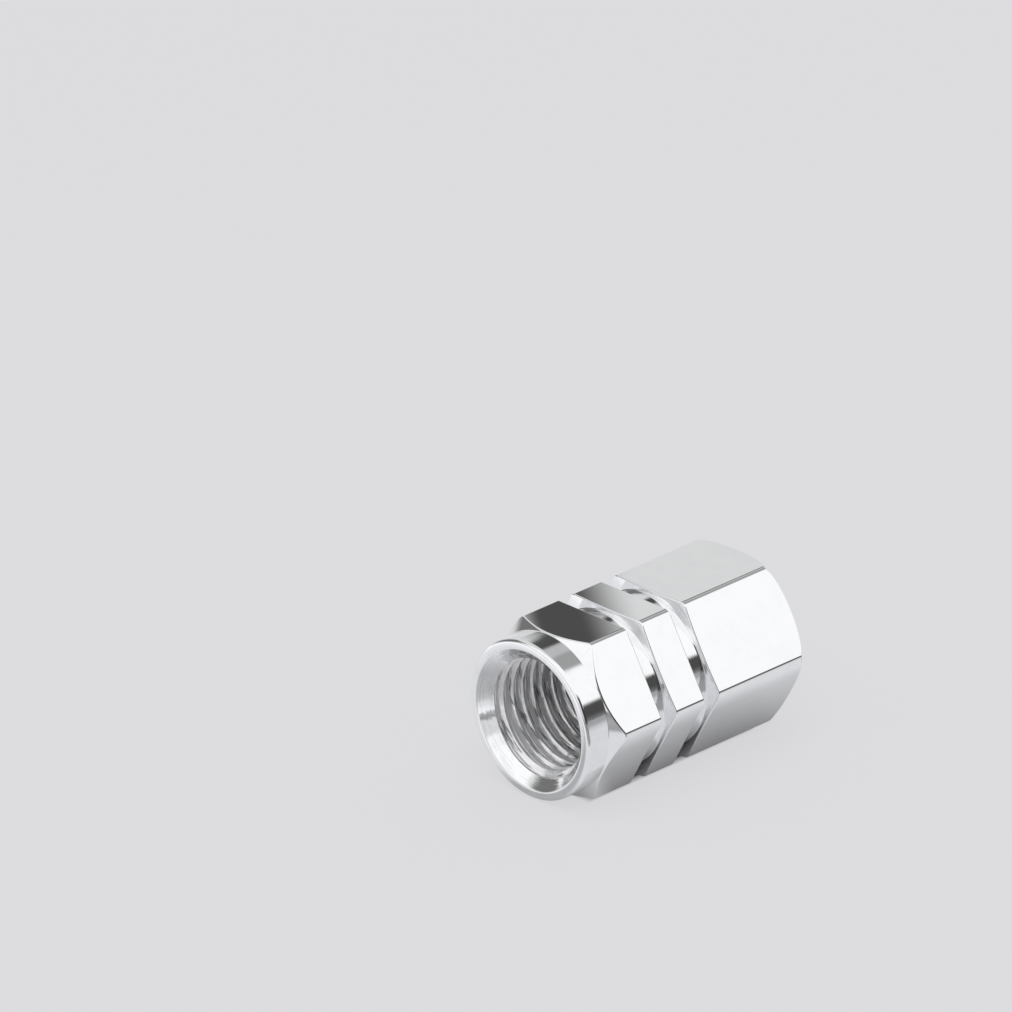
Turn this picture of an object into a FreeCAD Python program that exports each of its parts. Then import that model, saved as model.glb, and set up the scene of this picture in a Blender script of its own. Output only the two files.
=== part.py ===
import FreeCAD, Part

import math
import os

import Sketcher

# Tyre valve cap, turned from hexagonal bar, with a rubber sealing washer at the end of its bore.
# Frame: the cap lies on one of its six flats, and the origin is the middle of the ground under it.
# +Z is up. The cap's axis runs along Y, half the bar's width above the ground. The threaded mouth
# looks along -Y, and the head is towards +Y.
# Each piece is drawn from its own front face at Y = 0 and is then moved to its place.
# Lengths are in millimetres and angles in degrees.

# Driving sizes: name, value, what it measures.
SIZES = [
    ("across_flats", 10.0, "hexagonal bar, flat to flat"),
    ("edge_round", 0.45, "radius of the bar's six long edges"),
    ("collar_len", 1.7, "round collar, mouth face to shoulder"),
    ("collar_drop", 0.05, "how far the collar lies below the flats"),
    ("lip_round", 0.25, "radius on the collar's outer edge at the mouth"),
    ("shoulder_slope", 47.0, "shoulder cone, angle between its side and the axis"),
    ("front_band_len", 2.8, "first hexagonal band, measured on a corner"),
    ("middle_band_len", 2.4, "hexagonal band between the two grooves"),
    ("head_band_len", 6.7, "last hexagonal band, measured on a corner"),
    ("groove_len", 1.05, "turned groove, width at its floor"),
    ("groove_drop", 0.25, "groove floor, depth below the flats"),
    ("groove_flare", 8.0, "lean of the groove's wall on the head side"),
    ("crown_width", 1.47, "round rim of the head, from a corner inwards to the flat top"),
    ("crown_rise", 0.8, "round rim of the head, from a corner up to the flat top"),
    ("thread_bore_dia", 7.0, "bore as drilled for the valve thread, before tapping"),
    ("thread_len", 10.0, "mouth face to the end of the tapped length"),
    ("entry_chamfer", 0.9, "countersink at the mouth, the same along and across"),
    ("relief_step", 0.55, "how far the washer's relief lies outside the bore"),
    ("washer_thick", 1.3, "sealing washer, thickness"),
    ("washer_hole_dia", 4.0, "sealing washer, hole"),
    ("washer_side_clear", 0.05, "gap all round between washer and relief"),
    ("washer_face_clear", 0.1, "gap between washer and the end of the tapped length"),
    ("pin_pocket_dia", 5.0, "drilled pocket behind the washer, room for the valve's pin"),
    ("pin_pocket_len", 1.2, "straight part of that pocket"),
    ("drill_point", 118.0, "full angle of the drill's point"),
]

# Places worked out from the sizes: radii, and distances along the axis from the mouth face.
PLACES = [
    ("flat_radius", "=sizes.across_flats / 2"),
    ("corner_radius", "=flat_radius / cos(30)"),
    ("outside_radius", "=corner_radius + flat_radius / 5"),
    ("collar_radius", "=flat_radius - sizes.collar_drop"),
    ("collar_end", "=sizes.collar_len"),
    ("shoulder_end", "=collar_end + (corner_radius - collar_radius) / tan(sizes.shoulder_slope)"),
    ("shoulder_runout", "=collar_end + (outside_radius - collar_radius) / tan(sizes.shoulder_slope)"),
    ("groove_radius", "=flat_radius - sizes.groove_drop"),
    ("groove_start", "=shoulder_end + sizes.front_band_len"),
    ("groove_end", "=groove_start + sizes.groove_len"),
    ("groove_runout", "=groove_end + (outside_radius - groove_radius) * tan(sizes.groove_flare)"),
    ("groove_pitch", "=sizes.groove_len + sizes.middle_band_len"),
    ("head_end", "=groove_end + groove_pitch + sizes.head_band_len"),
    ("overall_len", "=head_end + sizes.crown_rise"),
    ("crown_flat_radius", "=corner_radius - sizes.crown_width"),
    ("crown_radius", "=(sizes.crown_width ^ 2 + sizes.crown_rise ^ 2) / (2 * sizes.crown_rise)"),
    ("crown_start", "=overall_len - crown_radius"),
    ("bore_radius", "=sizes.thread_bore_dia / 2"),
    ("mouth_radius", "=bore_radius + sizes.entry_chamfer"),
    ("chamfer_end", "=sizes.entry_chamfer"),
    ("thread_end", "=sizes.thread_len"),
    ("relief_radius", "=bore_radius + sizes.relief_step"),
    ("washer_start", "=thread_end + sizes.washer_face_clear"),
    ("washer_seat", "=washer_start + sizes.washer_thick"),
    ("washer_radius", "=relief_radius - sizes.washer_side_clear"),
    ("washer_hole_radius", "=sizes.washer_hole_dia / 2"),
    ("pocket_radius", "=sizes.pin_pocket_dia / 2"),
    ("pocket_end", "=washer_seat + sizes.pin_pocket_len"),
    ("drill_tip", "=pocket_end + pocket_radius / tan(sizes.drill_point / 2)"),
    ("lip_radius", "=min(sizes.lip_round; (collar_radius - mouth_radius) * 0.8)"),
    ("axis_height", "=flat_radius"),
    ("mouth_place", "=-overall_len / 2"),
    ("washer_place", "=mouth_place + washer_start"),
]

MOUTH_FACE = "mouth_face"
AXIS = "axis"
X_OF_SKETCH = -1
Y_OF_SKETCH = -2
ORIGIN = (-1, 1)
START, END, CENTRE = 1, 2, 3
LEAST_CUT = 0.001
NEAR = 1e-5


def fill_sheet(doc, name, rows):
    """Write one named cell a row, with the note beside it where there is one."""
    sheet = doc.addObject("Spreadsheet::Sheet", name)
    for number, row in enumerate(rows, start=1):
        sheet.set("A%d" % number, row[0])
        sheet.set("B%d" % number, str(row[1]))
        sheet.setAlias("B%d" % number, row[0])
        sheet.set("C%d" % number, "".join(row[2:]))
    doc.recompute()
    return sheet


def place_of(doc, name):
    """The number that a named place has now."""
    if name in (MOUTH_FACE, AXIS):
        return 0.0
    return float(doc.getObject("places").get(name))


def origin_feature(body, role):
    """One of the body's own planes or axes."""
    for feature in body.Origin.OriginFeatures:
        if feature.Role == role:
            return feature
    raise ValueError(role)


def new_sketch(body, name, plane):
    """An empty sketch on one of the body's own planes."""
    sketch = body.newObject("Sketcher::SketchObject", name)
    sketch.AttachmentSupport = (origin_feature(body, plane), [""])
    sketch.MapMode = "FlatFace"
    sketch.Visibility = False
    return sketch


def bind(sketch, place, *constraint):
    """Add a constraint whose value follows a named place."""
    value = place_of(sketch.Document, place)
    index = sketch.addConstraint(Sketcher.Constraint(*constraint, value))
    sketch.setExpression("Constraints[%d]" % index, "places." + place)


def pin_along(sketch, place, geometry, point):
    """Hold a point at a distance from the mouth face."""
    if place == MOUTH_FACE:
        sketch.addConstraint(Sketcher.Constraint("PointOnObject", geometry, point, Y_OF_SKETCH))
    else:
        bind(sketch, place, "DistanceX", *ORIGIN, geometry, point)


def pin_across(sketch, place, geometry, point):
    """Hold a point at a distance from the axis."""
    if place == AXIS:
        sketch.addConstraint(Sketcher.Constraint("PointOnObject", geometry, point, X_OF_SKETCH))
    else:
        bind(sketch, place, "DistanceY", *ORIGIN, geometry, point)


def turned_outline(body, name, corners):
    """A closed outline beside the axis. Each corner is a place along the axis and one across it."""
    sketch = new_sketch(body, name, "YZ_Plane")
    doc = sketch.Document
    points = [FreeCAD.Vector(place_of(doc, a), place_of(doc, r), 0) for a, r in corners]
    for i, point in enumerate(points):
        sketch.addGeometry(Part.LineSegment(point, points[(i + 1) % len(points)]), False)
    for i in range(len(points)):
        sketch.addConstraint(Sketcher.Constraint("Coincident", i, END, (i + 1) % len(points), START))
    pin_along(sketch, corners[0][0], 0, START)
    pin_across(sketch, corners[0][1], 0, START)
    for i in range(1, len(corners)):
        (along_before, across_before), (along, across) = corners[i - 1], corners[i]
        if along == along_before:
            sketch.addConstraint(Sketcher.Constraint("Vertical", i - 1))
        else:
            pin_along(sketch, along, i, START)
        if across == across_before:
            sketch.addConstraint(Sketcher.Constraint("Horizontal", i - 1))
        else:
            pin_across(sketch, across, i, START)
    return sketch


def must_cut(body, name, volume_before):
    """Stop if the newest feature took nothing off the body."""
    if volume_before - body.Shape.Volume < LEAST_CUT:
        raise RuntimeError(name + " cut nothing")


def turn_away(body, name, sketch):
    """Cut the sketch's outline all the way round the axis."""
    before = body.Shape.Volume
    cut = body.newObject("PartDesign::Groove", name)
    cut.Profile = sketch
    cut.ReferenceAxis = (sketch, ["H_Axis"])
    cut.Angle = 360.0
    body.Document.recompute()
    must_cut(body, name, before)
    return cut


def hexagon_section(body):
    """A regular hexagon round the axis, with two of its sides level."""
    sketch = new_sketch(body, "bar_section", "XZ_Plane")
    radius = place_of(sketch.Document, "corner_radius")
    angles = [math.radians(60 * i) for i in range(6)]
    points = [FreeCAD.Vector(radius * math.cos(a), radius * math.sin(a), 0) for a in angles]
    for i, point in enumerate(points):
        sketch.addGeometry(Part.LineSegment(point, points[(i + 1) % 6]), False)
    circle = Part.Circle(FreeCAD.Vector(0, 0, 0), FreeCAD.Vector(0, 0, 1), radius)
    ring = sketch.addGeometry(circle, True)
    sketch.addConstraint(Sketcher.Constraint("Coincident", ring, CENTRE, *ORIGIN))
    for i in range(6):
        sketch.addConstraint(Sketcher.Constraint("Coincident", i, END, (i + 1) % 6, START))
        sketch.addConstraint(Sketcher.Constraint("PointOnObject", i, START, ring))
    for i in range(1, 6):
        sketch.addConstraint(Sketcher.Constraint("Equal", 0, i))
    sketch.addConstraint(Sketcher.Constraint("Horizontal", 1))
    bind(sketch, "corner_radius", "Radius", ring)
    return sketch


def hexagonal_bar(body):
    """The bar stock, from the mouth face to the top of the head, with its long edges rounded."""
    bar = body.newObject("PartDesign::Pad", "bar")
    bar.Profile = hexagon_section(body)
    bar.Reversed = True
    bar.setExpression("Length", "places.overall_len")
    body.Document.recompute()
    length = place_of(body.Document, "overall_len")
    edges = enumerate(bar.Shape.Edges, start=1)
    names = ["Edge%d" % n for n, edge in edges if abs(edge.BoundBox.YLength - length) < NEAR]
    rounded = body.newObject("PartDesign::Fillet", "bar_edges")
    rounded.Base = (bar, names)
    rounded.setExpression("Radius", "sizes.edge_round")
    body.Document.recompute()


def turned_collar(body):
    """Round collar at the mouth, and the sloped shoulder that runs out on the flats."""
    outline = turned_outline(body, "collar_outline", [
        (MOUTH_FACE, "collar_radius"),
        ("collar_end", "collar_radius"),
        ("shoulder_runout", "outside_radius"),
        (MOUTH_FACE, "outside_radius"),
    ])
    turn_away(body, "collar", outline)


def turned_grooves(body):
    """Two equal grooves round the bar. Their floors lie just below the flats."""
    outline = turned_outline(body, "groove_outline", [
        ("groove_start", "groove_radius"),
        ("groove_end", "groove_radius"),
        ("groove_runout", "outside_radius"),
        ("groove_start", "outside_radius"),
    ])
    first = turn_away(body, "front_groove", outline)
    before = body.Shape.Volume
    pair = body.newObject("PartDesign::LinearPattern", "grooves")
    pair.Originals = [first]
    pair.Direction = (origin_feature(body, "Y_Axis"), [""])
    pair.setExpression("Length", "places.groove_pitch")
    pair.Occurrences = 2
    body.Tip = pair
    body.Document.recompute()
    must_cut(body, "grooves", before)


def turned_crown(body):
    """Round rim of the head: a quarter round that meets the flat top smoothly."""
    sketch = new_sketch(body, "crown_outline", "YZ_Plane")
    doc = sketch.Document
    radius = place_of(doc, "crown_radius")
    centre = FreeCAD.Vector(place_of(doc, "crown_start"), place_of(doc, "crown_flat_radius"), 0)
    circle = Part.Circle(centre, FreeCAD.Vector(0, 0, 1), radius)
    on_top = centre + FreeCAD.Vector(radius, 0, 0)
    outside = centre + FreeCAD.Vector(radius, radius, 0)
    on_side = centre + FreeCAD.Vector(0, radius, 0)
    arc = sketch.addGeometry(Part.ArcOfCircle(circle, 0.0, math.pi / 2), False)
    top = sketch.addGeometry(Part.LineSegment(on_top, outside), False)
    side = sketch.addGeometry(Part.LineSegment(outside, on_side), False)
    sketch.addConstraint(Sketcher.Constraint("Coincident", arc, START, top, START))
    sketch.addConstraint(Sketcher.Constraint("Coincident", top, END, side, START))
    sketch.addConstraint(Sketcher.Constraint("Coincident", side, END, arc, END))
    sketch.addConstraint(Sketcher.Constraint("Vertical", top))
    sketch.addConstraint(Sketcher.Constraint("Horizontal", side))
    sketch.addConstraint(Sketcher.Constraint("Horizontal", arc, CENTRE, arc, START))
    sketch.addConstraint(Sketcher.Constraint("Vertical", arc, CENTRE, arc, END))
    pin_along(sketch, "crown_start", arc, CENTRE)
    pin_across(sketch, "crown_flat_radius", arc, CENTRE)
    bind(sketch, "crown_radius", "Radius", arc)
    turn_away(body, "crown", sketch)


def turned_bore(body):
    """Blind bore: countersink, tapped length, relief for the washer, its seat and a pin pocket."""
    outline = turned_outline(body, "bore_outline", [
        (MOUTH_FACE, AXIS),
        (MOUTH_FACE, "mouth_radius"),
        ("chamfer_end", "bore_radius"),
        ("thread_end", "bore_radius"),
        ("thread_end", "relief_radius"),
        ("washer_seat", "relief_radius"),
        ("washer_seat", "pocket_radius"),
        ("pocket_end", "pocket_radius"),
        ("drill_tip", AXIS),
    ])
    turn_away(body, "bore", outline)


def rounded_lip(body):
    """Radius on the outer edge of the mouth."""
    radius = place_of(body.Document, "collar_radius")
    base = body.Tip
    names = []
    for number, edge in enumerate(base.Shape.Edges, start=1):
        box = edge.BoundBox
        on_mouth_face = abs(box.YMin) < NEAR and abs(box.YMax) < NEAR
        if on_mouth_face and abs(edge.Vertexes[0].Point.Length - radius) < NEAR:
            names.append("Edge%d" % number)
    lip = body.newObject("PartDesign::Fillet", "lip")
    lip.Base = (base, names)
    lip.setExpression("Radius", "places.lip_radius")
    body.Document.recompute()


def put_in_place(body, front):
    """Set the piece at the height of the axis, with its front face at a named place along it."""
    body.setExpression("Placement.Base.y", "places." + front)
    body.setExpression("Placement.Base.z", "places.axis_height")
    body.Document.recompute()


def cap_body(doc):
    """The one metal piece, made in the order in which it is machined."""
    body = doc.addObject("PartDesign::Body", "cap_body")
    body.Label = "cap_body"
    hexagonal_bar(body)
    turned_collar(body)
    turned_grooves(body)
    turned_crown(body)
    turned_bore(body)
    rounded_lip(body)
    put_in_place(body, "mouth_place")
    return body


def sealing_washer(doc):
    """Flat rubber ring, pushed home on the seat at the end of the bore."""
    body = doc.addObject("PartDesign::Body", "sealing_washer")
    body.Label = "sealing_washer"
    sketch = new_sketch(body, "washer_section", "XZ_Plane")
    for place in ("washer_radius", "washer_hole_radius"):
        circle = Part.Circle(FreeCAD.Vector(0, 0, 0), FreeCAD.Vector(0, 0, 1), place_of(doc, place))
        ring = sketch.addGeometry(circle, False)
        sketch.addConstraint(Sketcher.Constraint("Coincident", ring, CENTRE, *ORIGIN))
        bind(sketch, place, "Radius", ring)
    disc = body.newObject("PartDesign::Pad", "washer")
    disc.Profile = sketch
    disc.Reversed = True
    disc.setExpression("Length", "sizes.washer_thick")
    put_in_place(body, "washer_place")
    return body


def check_document(doc, bodies):
    """Stop if any object failed to build, or a piece isn't one sound solid."""
    for item in doc.Objects:
        if "Invalid" in item.State or "Error" in item.State:
            raise RuntimeError("%s failed: %s" % (item.Name, item.State))
    for body in bodies:
        shape = body.Shape
        if shape.isNull() or not shape.isValid() or len(shape.Solids) != 1:
            raise RuntimeError(body.Label + " isn't one sound solid")


def main():
    doc = FreeCAD.newDocument("valve_cap")
    fill_sheet(doc, "sizes", SIZES)
    fill_sheet(doc, "places", PLACES)
    bodies = [cap_body(doc), sealing_washer(doc)]
    doc.recompute()
    check_document(doc, bodies)
    os.makedirs("parts", exist_ok=True)
    for body in bodies:
        body.Shape.exportStep(os.path.join("parts", body.Label + ".step"))
        box = body.Shape.BoundBox
        print(body.Label, "volume", round(body.Shape.Volume, 3), "mm3, box", box)


main()
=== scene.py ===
"""Tyre valve cap: polished hexagonal cap, lying on one flat, with its thread and sealing washer.

Every piece is drawn in millimetres, with the cap's axis along Y and its mouth face at Y = 0, and
is then brought to metres and to its place in the frame.
"""
import logging
import math
from dataclasses import dataclass, field
from enum import Enum
from typing import Callable, Iterable, Sequence

import bmesh
import bpy
from mathutils import Matrix, Vector


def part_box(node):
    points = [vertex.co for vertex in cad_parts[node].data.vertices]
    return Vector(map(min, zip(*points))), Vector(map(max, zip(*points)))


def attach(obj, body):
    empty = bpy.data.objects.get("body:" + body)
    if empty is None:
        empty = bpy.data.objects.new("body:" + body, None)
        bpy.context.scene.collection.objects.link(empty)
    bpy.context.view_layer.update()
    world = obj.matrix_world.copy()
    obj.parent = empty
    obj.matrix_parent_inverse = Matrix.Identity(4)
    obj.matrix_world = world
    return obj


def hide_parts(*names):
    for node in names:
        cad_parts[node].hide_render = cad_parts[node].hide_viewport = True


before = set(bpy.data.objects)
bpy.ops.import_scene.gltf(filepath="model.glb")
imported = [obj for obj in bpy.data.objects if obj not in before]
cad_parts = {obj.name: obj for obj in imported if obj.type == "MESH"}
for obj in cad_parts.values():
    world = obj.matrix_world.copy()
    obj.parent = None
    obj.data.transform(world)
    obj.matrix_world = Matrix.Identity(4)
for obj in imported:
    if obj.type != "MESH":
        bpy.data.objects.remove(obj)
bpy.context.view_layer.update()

log = logging.getLogger("valve_cap")

MM = 0.001
ORIGIN = (0.0, 0.0, 0.0)
WELD = 0.0005
SAME_PLACE = 0.002
Point = tuple[float, float]
Colour = tuple[float, float, float]


class Band(Enum):
    """Which tool left a surface. Each value is the place of its finish in the cap's slots."""

    POLISHED = 0
    TURNED = 1
    GROOVED = 2
    COUNTERSUNK = 3
    TAPPED = 4

    def stand_in(self) -> bpy.types.Material:
        """An empty material that marks the faces until the finish takes its slot."""
        return bpy.data.materials.new("band_" + self.name.lower())


# Shared steps at the bench


def release_all() -> None:
    """Deselect every object, because an operator acts on all that is selected."""
    for item in list(bpy.context.selected_objects):
        item.select_set(False)


def hold(piece: bpy.types.Object) -> None:
    """Make one piece the selected and active object."""
    release_all()
    piece.select_set(True)
    bpy.context.view_layer.objects.active = piece


def pick(piece: bpy.types.Object, kind: str, test: Callable[..., bool]) -> int:
    """Select part of the mesh in edit mode by a test of each element.

    Args:
        piece: The object that is in edit mode.
        kind: "VERT", "EDGE" or "FACE".
        test: Says of one element whether it is wanted.

    Returns:
        How many elements are selected.
    """
    bpy.ops.mesh.select_mode(type=kind)
    bpy.ops.mesh.select_all(action="DESELECT")
    mesh = bmesh.from_edit_mesh(piece.data)
    elements = {"VERT": mesh.verts, "EDGE": mesh.edges, "FACE": mesh.faces}[kind]
    chosen = [element for element in elements if test(element)]
    for element in chosen:
        element.select_set(True)
    mesh.select_flush_mode()
    bmesh.update_edit_mesh(piece.data)
    return len(chosen)


def combine(piece: bpy.types.Object, tool: bpy.types.Object, operation: str) -> None:
    """Join, cut or intersect a piece with a tool, apply it and remove the tool.

    Args:
        piece: The object that is kept.
        tool: The closed object that works on it.
        operation: "UNION", "DIFFERENCE" or "INTERSECT".
    """
    hold(piece)
    step = piece.modifiers.new(operation.lower(), "BOOLEAN")
    step.object = tool
    step.operation = operation
    step.solver = "EXACT"
    step.material_mode = "TRANSFER"
    bpy.ops.object.modifier_apply(modifier=step.name)
    bpy.data.objects.remove(tool, do_unlink=True)


def face_outwards(piece: bpy.types.Object) -> None:
    """Merge a closed shell's doubles and point its faces outwards."""
    hold(piece)
    bpy.ops.object.mode_set(mode="EDIT")
    bpy.ops.mesh.select_all(action="SELECT")
    bpy.ops.mesh.remove_doubles(threshold=WELD)
    bpy.ops.mesh.normals_make_consistent(inside=False)
    bpy.ops.object.mode_set(mode="OBJECT")


def bring_to_frame(piece: bpy.types.Object, mouth: Vector) -> None:
    """Scale a finished piece from millimetres to metres and put it in the frame.

    Args:
        piece: The object, drawn in millimetres with the mouth face's centre at the origin.
        mouth: Where the mouth face's centre is in the frame, in metres.
    """
    hold(piece)
    piece.scale = (MM, MM, MM)
    piece.location = mouth
    bpy.ops.object.transform_apply(location=True, rotation=True, scale=True)


class TurnedOutline:
    """An outline drawn beside the axis, corner by corner, and then turned all the way round.

    A corner is a pair: the distance along the axis from the mouth face, and the radius.
    """

    def __init__(self, name: str, start: Point) -> None:
        """Put down the first corner of a new outline."""
        release_all()
        bpy.ops.mesh.primitive_circle_add(vertices=3, radius=0.001, location=ORIGIN)
        self.piece = bpy.context.object
        self.piece.name = name
        bpy.ops.object.mode_set(mode="EDIT")
        bpy.ops.mesh.select_mode(type="VERT")
        bpy.ops.mesh.select_all(action="SELECT")
        bpy.ops.mesh.merge(type="CENTER")
        bpy.ops.transform.translate(value=(start[1], start[0], 0.0))
        self.pen = start

    def line(self, *corners: Point) -> "TurnedOutline":
        """Draw straight lines on to each corner in turn."""
        for along, radius in corners:
            step = (radius - self.pen[1], along - self.pen[0], 0.0)
            bpy.ops.mesh.extrude_vertices_move(TRANSFORM_OT_translate={"value": step})
            self.pen = (along, radius)
        return self

    def arc(self, centre: Point, end: Point, steps: int) -> "TurnedOutline":
        """Draw a round from the last corner to another.

        Args:
            centre: The round's centre.
            end: Where the round ends.
            steps: How many lines it is made of.

        Returns:
            The outline itself.
        """
        before = Vector((self.pen[1] - centre[1], self.pen[0] - centre[0]))
        after = Vector((end[1] - centre[1], end[0] - centre[0]))
        bpy.ops.mesh.spin(
            steps=steps,
            angle=before.angle_signed(after),
            center=(centre[1], centre[0], 0.0),
            axis=(0.0, 0.0, 1.0),
            use_auto_merge=False,
        )
        self.pen = end
        return self

    def soften(self, radius: float, *corners: Point) -> "TurnedOutline":
        """Round the corners that are named.

        Args:
            radius: How far from the corner the round starts.
            corners: The corners, as they were drawn.

        Returns:
            The outline itself.
        """
        marks = [Vector((r, along, 0.0)) for along, r in corners]
        pick(self.piece, "VERT", lambda v: any((v.co - m).length < SAME_PLACE for m in marks))
        bpy.ops.mesh.bevel(affect="VERTICES", offset=radius, segments=4, profile=0.5)
        return self

    def turn(self, steps: int) -> bpy.types.Object:
        """Turn the outline round the axis into a closed shell.

        Args:
            steps: How many facets go round.

        Returns:
            The shell, with its faces outwards.
        """
        bpy.ops.mesh.select_all(action="SELECT")
        bpy.ops.mesh.spin(
            steps=steps, angle=math.tau, center=ORIGIN, axis=(0.0, 1.0, 0.0), use_auto_merge=True
        )
        bpy.ops.object.mode_set(mode="OBJECT")
        face_outwards(self.piece)
        return self.piece


# The cap


@dataclass
class CapBody:
    """The metal cap, machined from hexagonal bar. Sizes in millimetres, from the mouth face."""

    overall: float = 17.268
    across_flats: float = 10.0
    long_edge: float = 0.45
    collar: float = 4.95
    collar_end: float = 1.7
    collar_fillet: float = 0.03
    shoulder_slope: float = 47.0
    groove_starts: tuple[float, ...] = (5.268, 8.718)
    groove_width: float = 1.05
    groove_floor: float = 4.75
    groove_flare: float = 8.0
    groove_fillet: float = 0.07
    crown_width: float = 1.47
    crown_rise: float = 0.8
    lip: float = 0.25
    countersink: float = 0.9
    mouth_fillet: float = 0.12
    thread_crest: float = 3.5
    thread_root: float = 3.92
    thread_crest_flat: float = 0.1
    thread_fillet: float = 0.035
    thread_pitch: float = 0.79375
    thread_begin: float = -0.6
    thread_turns: int = 14
    thread_end: float = 10.0
    left_for_tap: float = 0.2
    relief: float = 4.05
    washer_seat: float = 11.4
    pocket: float = 2.5
    pocket_end: float = 12.6
    pocket_fillet: float = 0.06
    drill_tip: float = 14.102
    clear_of_bar: float = 6.4
    edge_break: float = 0.07
    crease: float = 32.0
    round_steps: int = 288
    thread_steps: int = 144
    crown_steps: int = 30
    lip_steps: int = 8

    @property
    def corner(self) -> float:
        """Radius of the bar's corners before they are rounded."""
        return self.across_flats / 2 / math.cos(math.radians(30))

    def bar(self) -> bpy.types.Object:
        """Hexagonal bar with two flats level and its six long edges rounded.

        Returns:
            The bar.
        """
        release_all()
        bpy.ops.mesh.primitive_cylinder_add(
            vertices=6,
            radius=self.corner,
            depth=self.overall + 2.0,
            end_fill_type="NGON",
            location=(0.0, self.overall / 2, 0.0),
            rotation=(math.pi / 2, math.pi / 6, 0.0),
        )
        bar = bpy.context.object
        bar.name = "bar"
        bpy.ops.object.transform_apply(location=True, rotation=True, scale=True)
        bpy.ops.object.mode_set(mode="EDIT")
        pick(bar, "EDGE", lambda e: abs(e.verts[0].co.y - e.verts[1].co.y) > self.overall)
        bpy.ops.mesh.bevel(
            offset=self.long_edge * math.tan(math.radians(30)), segments=9, profile=0.5
        )
        bpy.ops.object.mode_set(mode="OBJECT")
        return bar

    def blank(self) -> bpy.types.Object:
        """Everything that is turned: collar, shoulder, grooves, crown and the stepped bore.

        Returns:
            The blank, wider than the bar where the bar's flats are left.
        """
        wide = self.clear_of_bar
        crown_flat = self.corner - self.crown_width
        crown = (self.crown_width**2 + self.crown_rise**2) / (2 * self.crown_rise)
        side = crown_flat + crown
        outline = TurnedOutline("blank", (self.overall, 0.0))
        outline.line((self.overall, crown_flat))
        crown_starts = self.overall - crown
        outline.arc((crown_starts, crown_flat), (crown_starts, side), self.crown_steps)
        outline.line((crown_starts, wide))
        rise = (wide - self.groove_floor) * math.tan(math.radians(self.groove_flare))
        floor_corners = []
        for start in reversed(self.groove_starts):
            end = start + self.groove_width
            outline.line(
                (end + rise, wide),
                (end, self.groove_floor),
                (start, self.groove_floor),
                (start, wide),
            )
            floor_corners += [(end, self.groove_floor), (start, self.groove_floor)]
        run = (wide - self.collar) / math.tan(math.radians(self.shoulder_slope))
        inner = self.thread_crest - self.left_for_tap
        mouth = self.thread_crest + self.countersink
        outline.line((self.collar_end + run, wide), (self.collar_end, self.collar))
        outline.line((self.lip, self.collar))
        lip_starts = self.collar - self.lip
        outline.arc((self.lip, lip_starts), (0.0, lip_starts), self.lip_steps)
        outline.line(
            (0.0, mouth),
            (mouth - inner, inner),
            (self.thread_end, inner),
            (self.thread_end, self.relief),
            (self.washer_seat, self.relief),
            (self.washer_seat, self.pocket),
            (self.pocket_end, self.pocket),
            (self.drill_tip, 0.0),
        )
        outline.soften(self.groove_fillet, *floor_corners)
        outline.soften(self.collar_fillet, (self.collar_end, self.collar))
        outline.soften(self.mouth_fillet, (0.0, mouth))
        outline.soften(
            self.pocket_fillet, (self.washer_seat, self.pocket), (self.pocket_end, self.pocket)
        )
        blank = outline.turn(self.round_steps)
        bands = (Band.TURNED, Band.GROOVED, Band.COUNTERSUNK)
        for band in bands:
            blank.data.materials.append(band.stand_in())
        for face in blank.data.polygons:
            face.material_index = bands.index(self.band_at(face.center))
        return blank

    def band_at(self, place: Vector) -> Band:
        """Which tool cut the blank at a place.

        Args:
            place: The middle of one of its faces.

        Returns:
            The band of the grooves, of the countersink, or of all that is turned besides.
        """
        radius = math.hypot(place.x, place.z)
        inside_fillet = self.thread_crest + self.countersink - self.mouth_fillet
        if place.y < self.countersink and radius < inside_fillet:
            return Band.COUNTERSUNK
        reach = self.groove_width + self.long_edge
        near_groove = any(-WELD < place.y - start < reach for start in self.groove_starts)
        return Band.GROOVED if near_groove and radius > self.relief else Band.TURNED

    def tap(self) -> bpy.types.Object:
        """A screw of the thread's full form, which leaves the right-hand thread when cut away.

        Returns:
            The tap, closed at both ends outside the metal.
        """
        run = (self.thread_root - self.thread_crest) * math.tan(math.radians(30))
        begin, end = self.thread_begin, self.thread_begin + self.thread_pitch
        flank_begins = begin + self.thread_crest_flat
        corners = (
            (flank_begins, self.thread_crest),
            (flank_begins + run, self.thread_root),
            (end - run, self.thread_root),
        )
        tooth = TurnedOutline("tap", (begin, self.thread_crest))
        tooth.line(*corners, (end, self.thread_crest))
        tooth.soften(self.thread_fillet, *corners)
        bpy.ops.object.mode_set(mode="OBJECT")
        tap = tooth.piece
        hold(tap)
        screw = tap.modifiers.new("thread", "SCREW")
        screw.axis = "Y"
        screw.angle = math.tau
        screw.screw_offset = self.thread_pitch
        screw.iterations = self.thread_turns
        screw.steps = screw.render_steps = self.thread_steps
        screw.use_merge_vertices = True
        screw.merge_threshold = WELD
        bpy.ops.object.modifier_apply(modifier=screw.name)
        bpy.ops.object.mode_set(mode="EDIT")
        bpy.ops.mesh.select_all(action="SELECT")
        bpy.ops.mesh.remove_doubles(threshold=WELD)
        middle = self.thread_end / 2
        for far in (False, True):
            pick(tap, "EDGE", lambda e: e.is_boundary and (e.verts[0].co.y > middle) == far)
            bpy.ops.mesh.extrude_edges_move()
            bpy.ops.mesh.merge(type="CENTER")
        bpy.ops.object.mode_set(mode="OBJECT")
        face_outwards(tap)
        return tap

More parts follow.
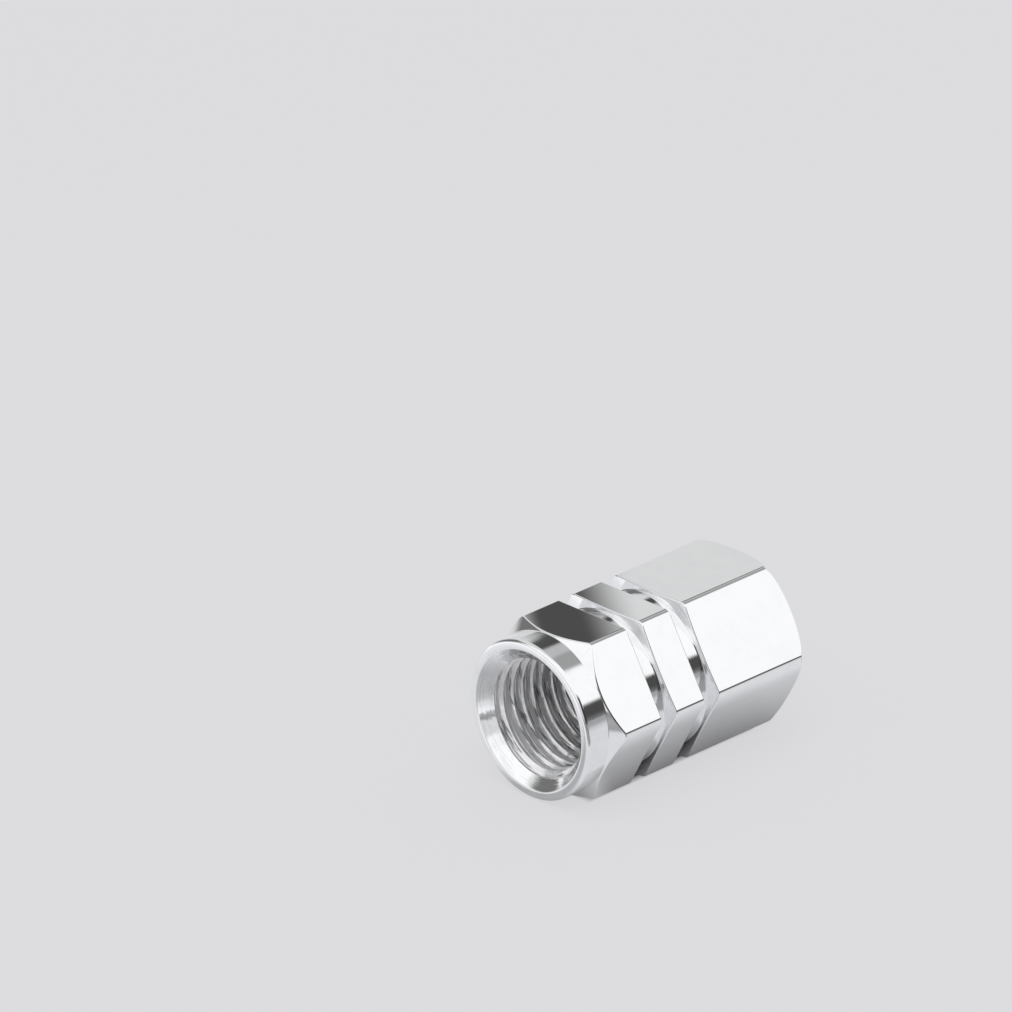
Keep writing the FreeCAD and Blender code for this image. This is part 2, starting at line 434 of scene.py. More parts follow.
    def build(self) -> bpy.types.Object:
        """Machine the cap: bar, then the turned forms, then the thread.

        Returns:
            The finished mesh, in millimetres.
        """
        cap, blank = self.bar(), self.blank()
        cap.data.materials.append(Band.POLISHED.stand_in())
        combine(cap, blank, "INTERSECT")
        self.break_edges(cap)
        tap = self.tap()
        tap.data.materials.append(Band.TAPPED.stand_in())
        combine(cap, tap, "DIFFERENCE")
        cap.name = "cap_polished"
        return cap

    def break_edges(self, cap: bpy.types.Object) -> None:
        """Round the edges where the shoulder and the grooves run out on the bar's flats."""
        crown_begins = self.overall - self.crown_width
        hold(cap)
        bpy.ops.object.mode_set(mode="EDIT")
        bpy.ops.mesh.select_all(action="SELECT")
        bpy.ops.mesh.remove_doubles(threshold=SAME_PLACE)
        pick(
            cap,
            "EDGE",
            lambda e: len(e.link_faces) == 2
            and min(face.material_index for face in e.link_faces) == Band.POLISHED.value
            and max(face.material_index for face in e.link_faces) > Band.POLISHED.value
            and e.verts[0].co.y < crown_begins,
        )
        bpy.ops.mesh.bevel(
            offset=self.edge_break, segments=3, profile=0.5, clamp_overlap=False, material=0
        )
        bpy.ops.object.mode_set(mode="OBJECT")


# Finishes


class Wiring:
    """Puts down the nodes of one tree and joins their sockets."""

    def __init__(self, tree: bpy.types.NodeTree) -> None:
        """Start on a tree."""
        self.tree = tree

    def node(self, kind: str, **settings: object) -> bpy.types.Node:
        """Add a node.

        Args:
            kind: The node's type, without the word ShaderNode in front.
            settings: Its own settings, by name.

        Returns:
            The node.
        """
        made = self.tree.nodes.new("ShaderNode" + kind)
        for name, value in settings.items():
            setattr(made, name, value)
        return made

    def feed(self, socket: bpy.types.NodeSocket, value: object) -> None:
        """Join a socket to an output, or set its value."""
        if isinstance(value, bpy.types.NodeSocket):
            self.tree.links.new(value, socket)
        else:
            socket.default_value = value

    def math(self, operation: str, *values: object) -> bpy.types.NodeSocket:
        """A Math node.

        Args:
            operation: What it works out, such as "MULTIPLY".
            values: Outputs or numbers, in order.

        Returns:
            Its output.
        """
        step = self.node("Math", operation=operation)
        for socket, value in zip(step.inputs, values):
            self.feed(socket, value)
        return step.outputs[0]

    def ramp(
        self,
        value: bpy.types.NodeSocket,
        low: object,
        high: object,
        start: object = 0.0,
        end: object = 1.0,
        smooth: bool = False,
    ) -> bpy.types.NodeSocket:
        """A Map Range node.

        Args:
            value: What is mapped.
            low: The value that gives the start.
            high: The value that gives the end.
            start: The result at the low value.
            end: The result at the high value.
            smooth: Whether the ends are eased.

        Returns:
            Its output.
        """
        step = self.node("MapRange")
        if smooth:
            step.interpolation_type = "SMOOTHSTEP"
        for socket, setting in zip(step.inputs, (value, low, high, start, end)):
            self.feed(socket, setting)
        return step.outputs[0]

    def mix(
        self, share: object, first: object, second: object, blend: str = "MIX"
    ) -> bpy.types.NodeSocket:
        """A Mix node for colours.

        Args:
            share: How much of the second colour shows.
            first: The colour underneath, or the output that gives it.
            second: The colour on top, or the output that gives it.
            blend: How the second goes over the first.

        Returns:
            Its output.
        """
        step = self.node("Mix", data_type="RGBA", blend_type=blend)
        self.feed(step.inputs["Factor"], share)
        colours = [socket for socket in step.inputs if socket.type == "RGBA"]
        for socket, colour in zip(colours, (first, second)):
            self.feed(socket, (*colour, 1.0) if isinstance(colour, tuple) else colour)
        return next(socket for socket in step.outputs if socket.type == "RGBA")

    def bump(self, height: object, depth: float, **below: object) -> bpy.types.NodeSocket:
        """A Bump node.

        Args:
            height: The output that gives the relief.
            depth: How deep the relief is, in millimetres.
            below: Its other sockets by name, such as the normal under the relief.

        Returns:
            Its output.
        """
        step = self.node("Bump")
        step.inputs["Distance"].default_value = depth * MM
        for name, value in {"Strength": 1.0, "Height": height, **below}.items():
            self.feed(step.inputs[name], value)
        return step.outputs[0]

    def in_millimetres(self, metres: object, height: float = 0.0) -> bpy.types.NodeSocket:
        """Places in millimetres, from a height over the ground in metres."""
        scaled = self.node("Mapping", vector_type="POINT")
        self.feed(scaled.inputs["Vector"], metres)
        scaled.inputs["Scale"].default_value = (1 / MM, 1 / MM, 1 / MM)
        scaled.inputs["Location"].default_value = (0.0, 0.0, -height / MM)
        return scaled.outputs[0]

    def split(self, vector: bpy.types.NodeSocket) -> Sequence[bpy.types.NodeSocket]:
        """The three coordinates of a vector."""
        parts = self.node("SeparateXYZ")
        self.feed(parts.inputs[0], vector)
        return tuple(parts.outputs)

    def noise(self, where: object, scale: object, detail: float, rough: float) -> bpy.types.Node:
        """A Noise Texture node at a place."""
        texture = self.node("TexNoise")
        values = {"Vector": where, "Scale": scale, "Detail": detail, "Roughness": rough}
        for name, value in values.items():
            self.feed(texture.inputs[name], value)
        return texture

    def group(self, tree: bpy.types.NodeTree, **values: object) -> bpy.types.Node:
        """A copy of a shared effect, with its own values."""
        made = self.node("Group", node_tree=tree)
        for name, value in values.items():
            self.feed(made.inputs[name.replace("_", " ")], value)
        return made


def effect(name: str, inputs: dict[str, float], outputs: Iterable[str]) -> bpy.types.NodeTree:
    """A new shared effect with number sockets and a place to read.

    Args:
        name: What it does.
        inputs: Each number socket and its usual value.
        outputs: The names of what it works out.

    Returns:
        The node group, with its two end nodes in place.
    """
    tree = bpy.data.node_groups.new(name, "ShaderNodeTree")
    tree.interface.new_socket("Place", in_out="INPUT", socket_type="NodeSocketVector")
    for label, value in inputs.items():
        socket = tree.interface.new_socket(label, in_out="INPUT", socket_type="NodeSocketFloat")
        socket.default_value = value
    for label in outputs:
        tree.interface.new_socket(label, in_out="OUTPUT", socket_type="NodeSocketFloat")
    tree.nodes.new("NodeGroupInput")
    tree.nodes.new("NodeGroupOutput")
    return tree


def ends(tree: bpy.types.NodeTree) -> tuple[bpy.types.Node, bpy.types.Node]:
    """The input and output nodes of a shared effect."""
    return tree.nodes["Group Input"], tree.nodes["Group Output"]


NEAR_AXIS = 0.05
ON_OUTSIDE = 0.7
ON_INSIDE = -0.7
ALONG_AXIS = 0.0


def lathe_marks() -> bpy.types.NodeTree:
    """Fine rings that a turning tool leaves round the axis, a little uneven along each ring.

    Rings is how many there are in a millimetre, Wander how uneven they are, and Outward how far
    they also spread with the radius.

    Returns:
        The effect. Height is the relief of the rings, Patch is where they are stronger, and Line
        is the thin dark lines between them.
    """
    numbers = {"Rings": 9.0, "Wander": 0.6, "Outward": ON_OUTSIDE}
    tree = effect("lathe_marks", numbers, ("Height", "Patch", "Line"))
    start, end = ends(tree)
    wire = Wiring(tree)
    given = start.outputs
    x, y, z = wire.split(given["Place"])
    squares = wire.math("ADD", wire.math("MULTIPLY", x, x), wire.math("MULTIPLY", z, z))
    radius = wire.math("MAXIMUM", wire.math("SQRT", squares), NEAR_AXIS)
    across = wire.math("MULTIPLY_ADD", radius, given["Outward"], y)
    turn = wire.node("CombineXYZ")
    for socket, aside in ((turn.inputs["X"], x), (turn.inputs["Z"], z)):
        aside = wire.math("DIVIDE", aside, radius)
        wire.feed(socket, wire.math("MULTIPLY", aside, given["Wander"]))
    wire.feed(turn.inputs["Y"], wire.math("MULTIPLY", across, given["Rings"]))
    rings = wire.noise(turn.outputs[0], scale=1.0, detail=3.0, rough=0.6)
    patches = wire.noise(given["Place"], scale=0.9, detail=2.0, rough=0.5)
    patch = wire.ramp(patches.outputs[0], 0.35, 0.65, smooth=True)
    depth = wire.ramp(patch, 0.0, 1.0, start=0.35, end=1.0)
    wire.feed(end.inputs["Height"], wire.math("MULTIPLY", rings.outputs[0], depth))
    wire.feed(end.inputs["Patch"], patch)
    wire.feed(end.inputs["Line"], wire.ramp(rings.outputs[0], 0.54, 0.62, smooth=True))
    return tree


def polish_haze() -> bpy.types.NodeTree:
    """What polishing leaves on a flat: long faint hairlines and a slow, very slight unevenness.

    Returns:
        The effect. Height is the relief, and Haze is how cloudy the polish is.
    """
    line_length, line_depth = 18.0, 0.03
    tree = effect("polish_haze", {"Lines": 14.0, "Swell": 0.35}, ("Height", "Haze"))
    start, end = ends(tree)
    wire = Wiring(tree)
    place = start.outputs["Place"]
    along = wire.node("Mapping", vector_type="TEXTURE")
    wire.feed(along.inputs["Vector"], place)
    along.inputs["Scale"].default_value = (1.0, line_length, 1.0)
    hairs = wire.noise(along.outputs[0], start.outputs["Lines"], detail=2.0, rough=0.7)
    swell = wire.noise(place, start.outputs["Swell"], detail=1.0, rough=0.4)
    cloud = wire.noise(place, scale=0.8, detail=4.0, rough=0.6)
    height = wire.math("MULTIPLY_ADD", hairs.outputs[0], line_depth, swell.outputs[0])
    wire.feed(end.inputs["Height"], height)
    wire.feed(end.inputs["Haze"], wire.ramp(cloud.outputs[0], 0.4, 0.7, smooth=True))
    return tree


@dataclass
class SharedEffects:
    """The effects that more than one finish uses, each built once."""

    lathe: bpy.types.NodeTree = field(default_factory=lathe_marks)
    haze: bpy.types.NodeTree = field(default_factory=polish_haze)


def fresh(
    name: str, kind: str = "BsdfPrincipled"
) -> tuple[bpy.types.Material, Wiring, bpy.types.Node, bpy.types.Node]:
    """A new material with only a shader and its output.

    Args:
        name: The material's name.
        kind: The shader's type, "Emission" for one that only glows.

    Returns:
        The material, the wiring of its tree, its shader and its output node.
    """
    material = bpy.data.materials.new(name)
    material.use_nodes = True
    wire = Wiring(material.node_tree)
    material.node_tree.nodes.clear()
    shader = wire.node(kind)
    out = wire.node("OutputMaterial")
    wire.feed(out.inputs["Surface"], shader.outputs[0])
    return material, wire, shader, out


def place_in_millimetres(wire: Wiring, axis_height: float) -> bpy.types.NodeSocket:
    """Object coordinates from the cap's axis, in millimetres."""
    return wire.in_millimetres(wire.node("TexCoord").outputs["Object"], axis_height)


@dataclass(frozen=True)
class BrightMetal:
    """Bright aluminium as one tool or the polishing wheel left it.

    The tint goes over to the deeper colour, and the roughness to the roughest, where the polish
    is hazy. Rings, wander and outward are those of the lathe marks. Depths are in millimetres.
    Streaks is how dark the lines between the marks are; on the thread these dark lines are painted
    shade between its turns.
    """

    name: str
    tint: Colour
    deeper: Colour
    roughness: float
    roughest: float
    rings: float
    wander: float
    ring_depth: float
    swell_depth: float = 0.0004
    metallic: float = 1.0
    streaks: float = 0.0
    outward: float = ON_OUTSIDE

    def make(self, shared: SharedEffects, axis_height: float) -> bpy.types.Material:
        """Build the material.

        Args:
            shared: The effects it uses.
            axis_height: Height of the cap's axis over the ground, in metres.

        Returns:
            The material.
        """
        material, wire, shader, _ = fresh(self.name)
        where = place_in_millimetres(wire, axis_height)
        lathe = wire.group(
            shared.lathe, Place=where, Rings=self.rings, Wander=self.wander, Outward=self.outward
        ).outputs
        haze = wire.group(shared.haze, Place=where).outputs
        colour = wire.mix(haze["Haze"], self.tint, self.deeper)
        # Darker along the thin lines between the marks; on the thread this is painted shade
        # between the turns.
        between_marks = (1.0 - self.streaks,) * 3
        colour = wire.mix(lathe["Line"], colour, between_marks, "MULTIPLY")
        cloudy = wire.math("MULTIPLY", haze["Haze"], lathe["Patch"])
        rings = wire.bump(lathe["Height"], self.ring_depth)
        values = {
            "Base Color": colour,
            "Metallic": self.metallic,
            "Roughness": wire.ramp(cloudy, 0.0, 1.0, self.roughness, self.roughest),
            "Normal": wire.bump(haze["Height"], self.swell_depth, Normal=rings),
        }
        for name, value in values.items():
            wire.feed(shader.inputs[name], value)
        return material


POLISHED = BrightMetal(
    name="polished_facets",
    tint=(0.92, 0.925, 0.935),
    deeper=(0.90, 0.905, 0.917),
    roughness=0.03,
    roughest=0.05,
    rings=6.0,
    wander=0.5,
    ring_depth=0.0,
)
TURNED = BrightMetal(
    name="turned_bright",
    tint=(0.92, 0.925, 0.935),
    deeper=(0.88, 0.887, 0.9),
    roughness=0.07,
    roughest=0.12,
    rings=11.0,
    wander=0.35,
    ring_depth=0.0008,
)
GROOVED = BrightMetal(
    name="grooved_bright",
    tint=(0.94, 0.945, 0.955),
    deeper=(0.9, 0.905, 0.917),
    roughness=0.05,
    roughest=0.09,
    rings=15.0,
    wander=0.3,
    ring_depth=0.005,
)
COUNTERSUNK = BrightMetal(
    name="countersunk_bright",
    tint=(0.94, 0.945, 0.955),
    deeper=(0.88, 0.887, 0.9),
    roughness=0.09,
    roughest=0.16,
    rings=5.0,
    wander=2.5,
    ring_depth=0.012,
    swell_depth=0.001,
    streaks=0.1,
    outward=ON_INSIDE,
)
TAPPED = BrightMetal(
    name="tapped_thread",
    tint=(0.99, 0.99, 0.995),
    deeper=(0.96, 0.965, 0.975),
    roughness=0.1,
    roughest=0.16,
    rings=8.0,
    wander=1.6,
    ring_depth=0.04,
    swell_depth=0.001,
    metallic=0.55,
    # Painted shade: strong dark lines between the thread's turns.
    streaks=0.72,
    outward=ALONG_AXIS,
)
FINISHES = {
    Band.POLISHED: POLISHED,
    Band.TURNED: TURNED,
    Band.GROOVED: GROOVED,
    Band.COUNTERSUNK: COUNTERSUNK,
    Band.TAPPED: TAPPED,
}


@dataclass(frozen=True)
class SealRubber:
    """Black moulded rubber with a dry, slightly dusty skin. The depth is in millimetres."""

    name: str = "seal_rubber"
    colour: Colour = (0.022, 0.022, 0.024)
    dusty: Colour = (0.055, 0.054, 0.053)
    roughness: tuple[float, float] = (0.55, 0.78)
    skin_depth: float = 0.012
    ring_share: float = 0.6

    def make(self, shared: SharedEffects, axis_height: float) -> bpy.types.Material:
        """Build the material.

        Args:
            shared: The effects it uses.
            axis_height: Height of the cap's axis over the ground, in metres.

        Returns:
            The material.
        """
        material, wire, shader, _ = fresh(self.name)
        where = place_in_millimetres(wire, axis_height)
        lathe = wire.group(shared.lathe, Place=where, Rings=4.0, Wander=1.5)
        grain = wire.noise(where, scale=26.0, detail=4.0, rough=0.6).outputs[0]
        dust = wire.noise(where, scale=2.2, detail=5.0, rough=0.65).outputs[0]
        dusted = wire.ramp(dust, 0.45, 0.7, smooth=True)
        height = wire.math("MULTIPLY_ADD", lathe.outputs["Height"], self.ring_share, grain)
        values = {
            "Base Color": wire.mix(dusted, self.colour, self.dusty),
            "Roughness": wire.ramp(grain, 0.3, 0.7, *self.roughness),
            "Normal": wire.bump(height, self.skin_depth, Strength=0.8),
        }
        for name, value in values.items():
            wire.feed(shader.inputs[name], value)
        return material


@dataclass
class SealingWasher:
    """The rubber washer at the end of the bore. Sizes in millimetres, from the mouth face."""

    front: float = 10.1
    back: float = 11.4
    outside: float = 4.0
    hole: float = 2.0
    press_ring: tuple[float, float] = (3.0, 3.75)
    press_depth: float = 0.09
    press_slope: float = 0.08
    press_fillet: float = 0.03
    fillet: float = 0.12
    crease: float = 40.0
    round_steps: int = 144

    def build(self) -> bpy.types.Object:
        """Mould the washer, with the ring that a valve's end has pressed in its face.

        Returns:
            The finished mesh, in millimetres.
        """
        inner, outer = self.press_ring
        ring = TurnedOutline("washer", (self.front, self.hole))
        corners = (
            (self.front, inner),
            (self.front + self.press_depth, inner + self.press_slope),
            (self.front + self.press_depth, outer - self.press_slope),
            (self.front, outer),
            (self.front, self.outside),
            (self.back, self.outside),
            (self.back, self.hole),
            (self.front, self.hole),
        )
        ring.line(*corners)
        bpy.ops.mesh.select_all(action="SELECT")
        bpy.ops.mesh.remove_doubles(threshold=WELD)
        ring.soften(self.press_fillet, *corners[:4])
        ring.soften(self.fillet, *corners[4:])
        return ring.turn(self.round_steps)


# Floor, light and camera


@dataclass(frozen=True)
class Panel:
    """A soft-edged panel of the light tent, by the directions in which the cap sees it.

    Azimuth turns from +Y towards +X. All angles are in degrees, and a level of 1 is white. The
    soft pair is half the width of the fade at the sides, and at the top and bottom.
    """

    name: str
    azimuth: tuple[float, float]
    elevation: tuple[float, float]
    soft: tuple[float, float]
    level: float


PANELS = (
    Panel("front_white", (18.0, 228.0), (18.0, 84.0), (8.0, 3.0), 1.04),
    Panel("back_grey", (-31.0, 19.0), (41.0, 62.0), (4.0, 3.0), 0.36),
    Panel("back_left_grey", (-31.0, -13.0), (41.0, 56.0), (4.0, 3.0), 0.52),
    Panel("back_left_dark", (-43.0, -31.0), (33.0, 45.0), (2.5, 2.5), 0.07),
    Panel("side_dark", (14.0, 126.0), (-4.0, 18.0), (4.0, 2.5), 0.07),
    Panel("side_dim", (14.0, 126.0), (-4.0, 3.0), (4.0, 4.0), 0.2),
    Panel("edge_dark", (68.0, 124.0), (2.0, 36.0), (4.0, 3.0), 0.05),
    Panel("left_dark", (-129.0, -85.0), (7.0, 37.0), (5.0, 5.0), 0.18),
)


def soft_panel() -> bpy.types.NodeTree:
    """Lays one panel over what is under it.

    Returns:
        The effect. Level is the brightness with the panel on top.
    """
    numbers = {
        "Azimuth": 0.0,
        "Elevation": 0.0,
        "Centre azimuth": 0.0,
        "Centre elevation": 0.0,
        "Half width": 1.0,
        "Half height": 1.0,
        "Soft sides": 0.1,
        "Soft ends": 0.1,
        "Panel level": 1.0,
        "Under": 0.0,
    }
    tree = effect("soft_panel", numbers, ("Level",))
    start, end = ends(tree)
    wire = Wiring(tree)
    get = start.outputs
    aside = wire.math("SUBTRACT", get["Azimuth"], get["Centre azimuth"])
    aside = wire.math("ABSOLUTE", wire.math("WRAP", aside, math.pi, -math.pi))
    above = wire.math("ABSOLUTE", wire.math("SUBTRACT", get["Elevation"], get["Centre elevation"]))
    cover = []
    for distance, half, soft in (
        (aside, get["Half width"], get["Soft sides"]),
        (above, get["Half height"], get["Soft ends"]),
    ):
        inside, outside = wire.math("SUBTRACT", half, soft), wire.math("ADD", half, soft)
        cover.append(wire.ramp(distance, inside, outside, 1.0, 0.0, smooth=True))
    mask = wire.math("MULTIPLY", *cover)
    more = wire.math("SUBTRACT", get["Panel level"], get["Under"])
    wire.feed(end.inputs["Level"], wire.math("MULTIPLY_ADD", mask, more, get["Under"]))
    return tree


@dataclass(frozen=True)
class DarkCard:
    """A narrow dark card to the left, leaning to the right, seen only in reflections, where it
    darkens the near end of the upper flat.

    Lengths are in millimetres. Left and right are measured across the way to the card, at the
    height seen_height, and each fade is a share of the card's width or height.
    """

    azimuth: float = -46.8
    away: float = 60.0
    left: float = -7.9
    right: float = 0.65
    low: float = 20.0
    high: float = 80.0
    seen_height: float = 38.0
    lean: float = 0.28
    left_fade: Point = (0.0, 0.25)
    right_fade: Point = (0.52, 1.0)
    low_fade: Point = (0.0, 0.13)
    high_fade: Point = (0.84, 1.0)
    level: float = 0.075

    def hang(self) -> bpy.types.Object:
        """Hang the card.

        Returns:
            The card.
        """
        release_all()
        bpy.ops.mesh.primitive_plane_add(size=1.0)
        card = bpy.context.object
        card.name = "dark_card"
        toward = Matrix.Rotation(-math.radians(self.azimuth), 3, "Z")
        forward, across = toward @ Vector((0.0, 1.0, 0.0)), toward @ Vector((1.0, 0.0, 0.0))
        leaning = Vector((0.0, 0.0, 1.0)) + across * self.lean
        centre = forward * self.away + across * (self.left + self.right) / 2
        centre += Vector((0.0, 0.0, self.seen_height))
        centre += leaning * ((self.low + self.high) / 2 - self.seen_height)
        card.data.transform(
            Matrix.Scale(MM, 4)
            @ Matrix.Translation(centre)
            @ Matrix((across, leaning, forward)).transposed().to_4x4()
            @ Matrix.Diagonal((self.right - self.left, self.high - self.low, 1.0, 1.0))
        )
        card.data.materials.append(self.finish())
        return card

    def finish(self) -> bpy.types.Material:
        """The card's material: dark, and clear towards its edges.

        Returns:
            The material.
        """
        material, wire, glow, out = fresh("dark_card", "Emission")
        glow.inputs["Strength"].default_value = self.level
        across, up, _ = wire.split(wire.node("TexCoord").outputs["UV"])
        cover = 1.0
        for place, fade, start, end in (
            (across, self.left_fade, 0.0, 1.0),
            (across, self.right_fade, 1.0, 0.0),
            (up, self.low_fade, 0.0, 1.0),
            (up, self.high_fade, 1.0, 0.0),
        ):
            edge = wire.ramp(place, *fade, start, end, smooth=True)
            cover = wire.math("MULTIPLY", cover, edge)
        both = wire.node("MixShader")
        layers = (cover, wire.node("BsdfTransparent").outputs[0], glow.outputs[0])
        for socket, layer in zip(both.inputs, layers):
            wire.feed(socket, layer)
        wire.feed(out.inputs["Surface"], both.outputs[0])
        return material


@dataclass
class Studio:
    """Pale floor and plain soft light. The tent shows only as reflections in the metal.

    Lengths are in metres. Of the floor's colour, own_glow is the share that is even for the
    camera, and lit_in_metal the share that the lamp lights for reflections.
    """

    pale: Colour = (0.723, 0.723, 0.738)
    cloud_share: float = 0.995
    tent_radius: float = 0.6
    tent_level: float = 0.72
    floor_half: float = 3.0
    own_glow: float = 0.85
    lit_in_metal: float = 0.3
    lamp_place: tuple[float, float, float] = (0.18, -0.2, 0.8)
    lamp_size: float = 0.9
    lamp_watts: float = 2.6

    def floor(self) -> bpy.types.Object:
        """Lay the floor. Part of its pale colour is even, so that shadows on it stay faint.

        Returns:
            The floor.
        """
        release_all()
        bpy.ops.mesh.primitive_grid_add(
            x_subdivisions=4, y_subdivisions=4, size=2 * self.floor_half
        )
        floor = bpy.context.object
        floor.name = "floor"
        material, wire, shader, _ = fresh("pale_floor")
        where = wire.node("TexCoord").outputs["Object"]
        cloud = wire.noise(where, scale=3.0, detail=2.0, rough=0.5).outputs[0]
        clouded = tuple(self.cloud_share * part for part in self.pale)
        colour = wire.mix(cloud, self.pale, clouded)
        path = wire.node("LightPath").outputs
        less = 1 - self.own_glow - self.lit_in_metal
        lit = wire.math("MULTIPLY_ADD", path["Is Camera Ray"], less, self.lit_in_metal)
        seen = wire.math("MULTIPLY", path["Is Camera Ray"], self.own_glow)
        # Painted shadow: the floor's even glow is taken away directly under the cap.
        seen = wire.math("MULTIPLY", seen, self.outside_painted_shadow(wire, where))
        # Only glossy rays see this: the floor's reflection in the metal carries painted shade and
        # painted light.
        painted_floor_shade = self.painted_shade_of_floor_in_metal(wire, where)
        values = {
            "Base Color": wire.mix(1.0, colour, lit, "MULTIPLY"),
            "Roughness": 0.9,
            "Specular IOR Level": 0.0,
            "Emission Color": colour,
            "Emission Strength": wire.math("MULTIPLY_ADD", path["Is Glossy Ray"], painted_floor_shade, seen),
        }
        for name, value in values.items():
            wire.feed(shader.inputs[name], value)
        floor.data.materials.append(material)
        return floor

    def painted_shade_of_floor_in_metal(self, wire: Wiring, where: bpy.types.NodeSocket) -> bpy.types.NodeSocket:
        """How bright the floor shows in the metal, with painted shade and light: a painted shadow
        under the cap and painted shade far to the right.

        Args:
            wire: The wiring of the floor's material.
            where: Places on the floor, in metres.

        Returns:
            The brightness that is added to the lit floor.
        """
        x, y, _ = wire.split(wire.in_millimetres(where))
        aside, along = wire.math("ABSOLUTE", x), wire.math("ABSOLUTE", y)
        brightest_near = 0.76
        # Painted shadow under the cap, from the line under it outwards: no light, then a slow rise
        # and a steep one.
        under = wire.ramp(aside, 1.9, 2.7, 0.1, 1.0)
        slow = wire.math("MULTIPLY", wire.ramp(aside, 2.6, 5.2, 0.12, 0.5), under)
        steep = wire.ramp(aside, 4.7, 5.5, 0.0, 0.22, smooth=True)
        # Painted light: a little more past both ends, and before the mouth.
        painted_light_past_ends = wire.ramp(along, 3.0, 10.0, 0.0, 0.12, smooth=True)
        mouth = wire.ramp(y, -6.4, -4.4, 0.22, 0.0, smooth=True)
        near = wire.math("ADD", wire.math("ADD", steep, slow), wire.math("ADD", painted_light_past_ends, mouth))
        # Painted light on the floor in front of the cap, as the metal sees it.
        front = wire.ramp(y, -30.0, -17.0, 0.4, 0.0, smooth=True)
        near = wire.math("ADD", wire.math("MINIMUM", near, brightest_near), front)
        # Painted shade: dimmer to the right, first beside the mouth's half and then everywhere.
        beside = wire.ramp(x, 13.0, 16.0, 0.0, 1.0, smooth=True)
        beside = wire.math("MULTIPLY", beside, wire.ramp(y, -2.0, 1.0, 0.75, 0.0, smooth=True))
        far = wire.ramp(x, 13.0, 60.0, 1.0, 0.3, smooth=True)
        far = wire.math("MULTIPLY", far, wire.math("SUBTRACT", 1.0, beside))
        return wire.math("MULTIPLY", near, far)

    def outside_painted_shadow(self, wire: Wiring, where: bpy.types.NodeSocket) -> bpy.types.NodeSocket:
        """Where the floor keeps its glow: none of it directly under the cap, where this paints a
        shadow.

        Args:
            wire: The wiring of the floor's material.
            where: Places on the floor, in metres.

        Returns:
            1 beside the cap and 0 under it.
        """
        x, y, _ = wire.split(wire.in_millimetres(where))
        beside = wire.ramp(wire.math("ABSOLUTE", x), 2.2, 2.95)
        beyond = wire.ramp(wire.math("ABSOLUTE", y), 5.5, 6.8)
        return wire.math("MAXIMUM", beside, beyond)

    def tent(self) -> bpy.types.Object:
        """Put up the tent whose panels shape the reflections.

        Returns:
            The tent.
        """
        release_all()
        bpy.ops.mesh.primitive_uv_sphere_add(segments=64, ring_count=32, radius=self.tent_radius)
        tent = bpy.context.object
        tent.name = "light_tent"
        material, wire, glow, _ = fresh("tent_panels", "Emission")
        unit = wire.node("VectorMath", operation="NORMALIZE")
        wire.feed(unit.inputs[0], wire.node("TexCoord").outputs["Object"])
        x, y, z = wire.split(unit.outputs[0])
        azimuth, elevation = wire.math("ARCTAN2", x, y), wire.math("ARCSINE", z)
        tree, level = soft_panel(), self.tent_level
        for panel in PANELS:
            made = wire.group(tree, Azimuth=azimuth, Elevation=elevation, Under=level)
            made.label = panel.name
            (left, right), (low, high) = panel.azimuth, panel.elevation
            angles = (
                ("Centre azimuth", (left + right) / 2),
                ("Centre elevation", (low + high) / 2),
                ("Half width", (right - left) / 2),
                ("Half height", (high - low) / 2),
                ("Soft sides", panel.soft[0]),
                ("Soft ends", panel.soft[1]),
            )
            for name, angle in angles:
                made.inputs[name].default_value = math.radians(angle)
            made.inputs["Panel level"].default_value = panel.level
            level = made.outputs[0]
        wire.feed(glow.inputs["Strength"], level)
        tent.data.materials.append(material)
        return tent

    @staticmethod
    def only_reflected(item: bpy.types.Object) -> None:
        """Let a piece of the studio show only in reflections, and cast no shadow."""
        item.visible_camera = False
        item.visible_diffuse = False
        item.visible_transmission = False
        item.visible_shadow = False

    def light(self) -> None:
        """Light the room evenly, with one wide lamp overhead."""
        world = bpy.data.worlds.new("pale_room")
        bpy.context.scene.world = world
        world.use_nodes = True
        background = world.node_tree.nodes["Background"]
        background.inputs["Color"].default_value = (*self.pale, 1.0)
        background.inputs["Strength"].default_value = 1.0
        release_all()
        bpy.ops.object.light_add(type="AREA", location=self.lamp_place)
        lamp = bpy.context.object
        lamp.name = "overhead_lamp"
        lamp.data.shape = "DISK"
        lamp.data.size = self.lamp_size
        lamp.data.energy = self.lamp_watts
        lamp.visible_glossy = False
        lamp.visible_camera = False
        lamp.rotation_euler = (-lamp.location).to_track_quat("-Z", "Y").to_euler()

    def set_up(self) -> None:
        """Build the floor, tent, card and light."""
        floor, tent, card = self.floor(), self.tent(), DarkCard().hang()
        self.only_reflected(tent)
        self.only_reflected(card)
        self.light()


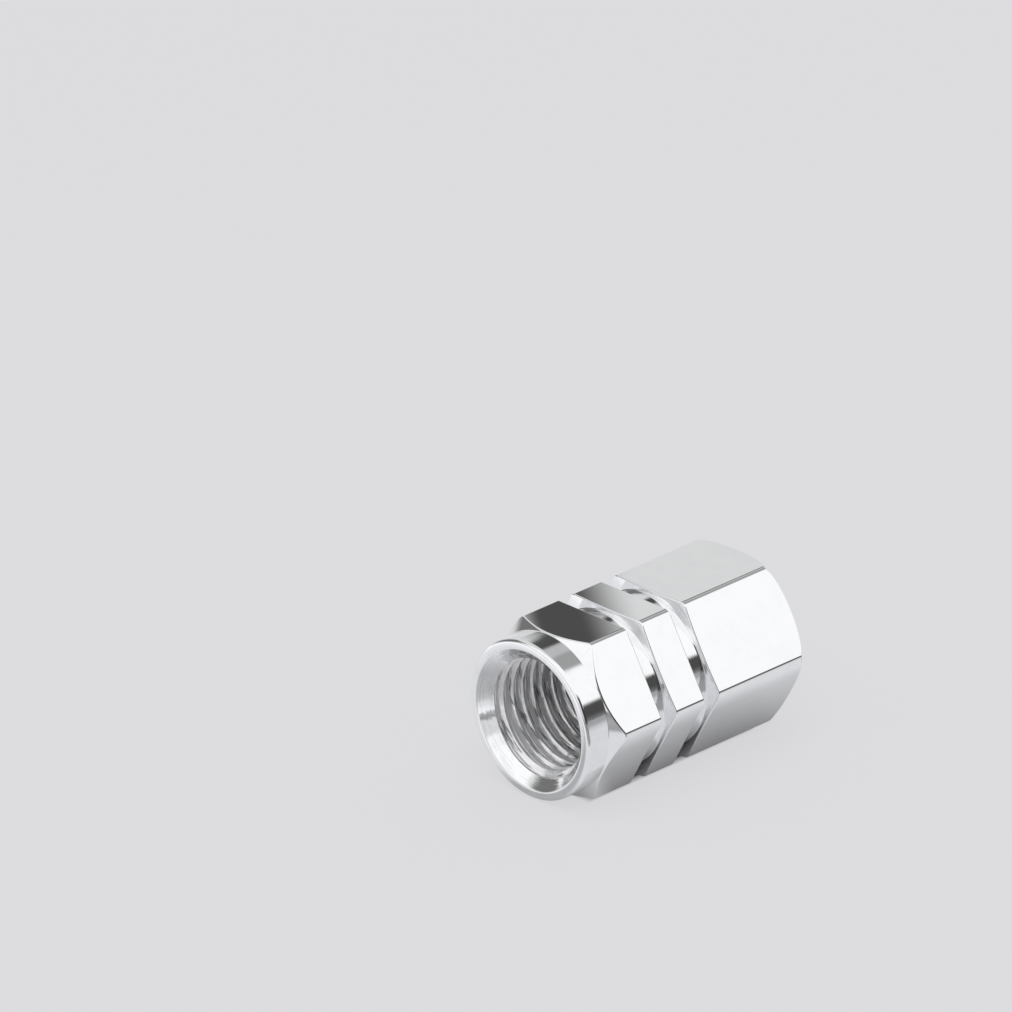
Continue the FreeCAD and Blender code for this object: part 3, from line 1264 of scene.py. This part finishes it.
@dataclass(frozen=True)
class PhotoCamera:
    """The camera at the photograph's viewing angle, in metres and degrees.

    The lens and the sensor's width are in the camera's own millimetres.
    """

    eye: tuple[float, float, float] = (0.66012, -0.629444, 0.44158)
    aim: tuple[float, float, float] = (-0.00063, -0.009305, 0.018712)
    lean: float = -1.624
    lens: float = 619.6
    sensor: float = 36.0

    def set_up(self) -> None:
        """Place the camera and make it the scene's own."""
        data = bpy.data.cameras.new("photo_camera")
        data.lens = self.lens
        data.sensor_width = self.sensor
        camera = bpy.data.objects.new("photo_camera", data)
        bpy.context.scene.collection.objects.link(camera)
        look = Vector(self.aim) - Vector(self.eye)
        turn = look.to_track_quat("-Z", "Y").to_matrix()
        turn = turn @ Matrix.Rotation(math.radians(self.lean), 3, "Z")
        camera.matrix_world = Matrix.Translation(self.eye) @ turn.to_4x4()
        bpy.context.scene.camera = camera


# Putting it together


def smooth_but_crisp(piece: bpy.types.Object, angle: float) -> None:
    """Shade smoothly, keep sharp edges, and let large faces keep their own direction.

    Args:
        piece: The finished mesh.
        angle: The angle in degrees above which an edge stays sharp.
    """
    hold(piece)
    bpy.ops.object.shade_smooth_by_angle(angle=math.radians(angle))
    weight = piece.modifiers.new("weighted", "WEIGHTED_NORMAL")
    weight.mode = "FACE_AREA"
    weight.keep_sharp = True
    bpy.ops.object.modifier_apply(modifier=weight.name)


def dress(piece: bpy.types.Object, finishes: Sequence[bpy.types.Material]) -> None:
    """Put the finishes in the piece's slots, in order."""
    while len(piece.data.materials) < len(finishes):
        piece.data.materials.append(None)
    for number, finish in enumerate(finishes):
        piece.data.materials[number] = finish


def main() -> None:
    """Build the pieces in order, then light and frame them."""
    logging.basicConfig(level=logging.INFO, format="%(name)s: %(message)s")
    low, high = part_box("cap_body")
    axis_height = (low.z + high.z) / 2
    mouth = Vector((0.0, low.y, axis_height))
    shared = SharedEffects()

    body = CapBody()
    cap = body.build()
    smooth_but_crisp(cap, body.crease)
    bring_to_frame(cap, mouth)
    dress(cap, [FINISHES[band].make(shared, axis_height) for band in Band])
    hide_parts("cap_body")
    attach(cap, "root")
    log.info("%s: %d faces", cap.name, len(cap.data.polygons))

    seal = SealingWasher()
    washer = seal.build()
    smooth_but_crisp(washer, seal.crease)
    bring_to_frame(washer, mouth)
    washer.name = "washer_rubber"
    dress(washer, [SealRubber().make(shared, axis_height)])
    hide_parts("sealing_washer")
    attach(washer, "root")
    log.info("%s: %d faces", washer.name, len(washer.data.polygons))

    Studio().set_up()
    PhotoCamera().set_up()
    bpy.context.scene.view_settings.view_transform = "Standard"


if __name__ == "__main__":
    main()
